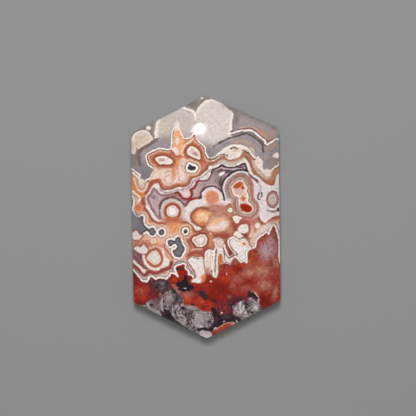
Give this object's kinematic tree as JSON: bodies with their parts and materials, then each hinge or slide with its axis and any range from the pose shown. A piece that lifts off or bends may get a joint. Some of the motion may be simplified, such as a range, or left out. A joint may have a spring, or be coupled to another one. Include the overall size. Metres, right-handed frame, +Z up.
{
  "type": "crazy lace agate cabochon",
  "caption": "Long six-sided polished cabochon of lace agate, with a low dome, a leaning wall and a flat bevelled back.",
  "frame": {"origin": "middle of the flat back, at the centre of the stone's box seen from above", "axes": "+Z up through the dome, Y along the stone with +Y towards its grey end, X across it"},
  "size_m": [0.0256, 0.0412, 0.0055],
  "materials": {
    "agate": "polished"
  },
  "bodies": {
    "root": {"cabochon": "agate"}
  },
  "joints": []
}
